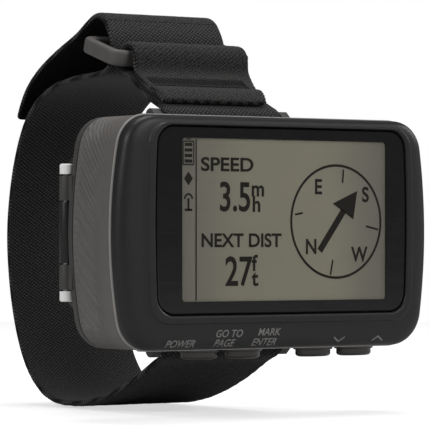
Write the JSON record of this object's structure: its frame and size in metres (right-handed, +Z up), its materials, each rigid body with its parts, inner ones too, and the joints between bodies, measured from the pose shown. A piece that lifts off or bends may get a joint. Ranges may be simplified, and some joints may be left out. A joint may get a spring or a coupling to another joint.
{
  "type": "wrist gps unit",
  "caption": "Wrist-worn navigation unit: landscape screen in a gasketed case, keys along the bottom, hinged battery door behind and a hook-and-loop strap through a buckle ring.",
  "frame": {"origin": "bottom centre of the bounding box", "axes": "+Z up with the screen upright, the screen faces -Y, +X to the right of the screen as it is read, the strap loop lies behind towards +Y"},
  "size_m": [0.0676, 0.0734, 0.0732],
  "materials": {
    "black_shell": "fine-grained satin ABS",
    "grey_shell": "grained polycarbonate blend",
    "key_finish": "metallic-coated key caps",
    "lens": "clear acrylic with a black printed border, glossy",
    "display": "reflective liquid crystal display",
    "backlight": "moulded light guide",
    "white_plastic": "white acetal",
    "board": "glass-epoxy with solder mask",
    "chip": "moulded epoxy",
    "ceramic": "fired ceramic with a silvered patch",
    "steel": "stainless steel, satin",
    "rubber": "silicone rubber, matt",
    "cell": "plain printed sleeve",
    "strap": "black woven elastic with loop pile outside",
    "ring": "moulded acetal"
  },
  "bodies": {
    "root": {"front_bezel": "black_shell", "mid_housing": "grey_shell", "rear_cover": "grey_shell", "lens_window": "lens", "lens_seal": "rubber", "lcd_module": "display", "backlight": "backlight", "main_board": "board", "key_board": "board", "shield_can": "steel", "processor": "chip", "memory_chip": "chip", "compass_sensor": "chip", "clock_crystal": "steel", "patch_antenna": "ceramic", "beeper": "chip", "backup_cell": "steel", "display_flex": "chip", "front_gasket": "rubber", "rear_gasket": "rubber", "key_gasket": "rubber", "battery_tray": "chip", "battery_1": "cell", "battery_2": "cell", "battery_plate": "steel", "battery_bridge": "steel", "battery_spring": "steel", "hinge_pin": "steel", "hinge_cap_upper": "white_plastic", "hinge_cap_lower": "white_plastic", "data_port": "steel", "strap_bar_upper": "steel", "strap_bar_lower": "steel", "strap_short": "strap", "strap_loop": "strap", "case_screw_1": "steel", "case_screw_2": "steel", "case_screw_3": "steel", "case_screw_4": "steel", "power_dome": "steel", "page_dome": "steel", "enter_dome": "steel", "down_dome": "steel", "up_dome": "steel"},
    "battery_door": {"battery_door": "grey_shell", "door_seal": "rubber"},
    "door_screw": {"door_screw": "steel"},
    "port_cap": {"port_cap": "rubber"},
    "strap_ring": {"strap_ring": "ring"},
    "strap_tail": {"strap_tail": "strap"},
    "power_key": {"power_key": "key_finish"},
    "page_key": {"page_key": "key_finish"},
    "enter_key": {"enter_key": "key_finish"},
    "down_key": {"down_key": "key_finish"},
    "up_key": {"up_key": "key_finish"}
  },
  "joints": [
    {"name": "power_key_press", "type": "slide", "parent": "root", "child": "power_key", "axis": [0, 0, 1], "range_m": [0, 0.0006], "stiffness_N_per_m": 800},
    {"name": "page_key_press", "type": "slide", "parent": "root", "child": "page_key", "axis": [0, 0, 1], "range_m": [0, 0.0006], "stiffness_N_per_m": 800},
    {"name": "enter_key_press", "type": "slide", "parent": "root", "child": "enter_key", "axis": [0, 0, 1], "range_m": [0, 0.0006], "stiffness_N_per_m": 800},
    {"name": "down_key_press", "type": "slide", "parent": "root", "child": "down_key", "axis": [0, 0, 1], "range_m": [0, 0.0006], "stiffness_N_per_m": 800},
    {"name": "up_key_press", "type": "slide", "parent": "root", "child": "up_key", "axis": [0, 0, 1], "range_m": [0, 0.0006], "stiffness_N_per_m": 800},
    {"name": "battery_door_swing", "type": "hinge", "parent": "root", "child": "battery_door", "pos_m": [-0.03265, -0.01818, 0.03234], "axis": [0, 0, 1], "range_deg": [0, 105]},
    {"name": "door_screw_turn", "type": "hinge", "parent": "battery_door", "child": "door_screw", "pos_m": [0.02075, -0.01578, 0.03234], "axis": [0, 1, 0], "range_deg": [0, 90]},
    {"name": "port_cap_flip", "type": "hinge", "parent": "root", "child": "port_cap", "pos_m": [0.03005, -0.01818, 0.02434], "axis": [0, 0, -1], "range_deg": [0, 110]},
    {"name": "strap_ring_tilt", "type": "hinge", "parent": "root", "child": "strap_ring", "pos_m": [-0.0001, -0.00588, 0.06406], "axis": [1, 0, 0], "range_deg": [-6, 6]},
    {"name": "strap_tail_peel", "type": "hinge", "parent": "root", "child": "strap_tail", "pos_m": [0.00035, 0.00128, 0.07176], "axis": [1, 0, 0], "range_deg": [0, 100]}
  ]
}
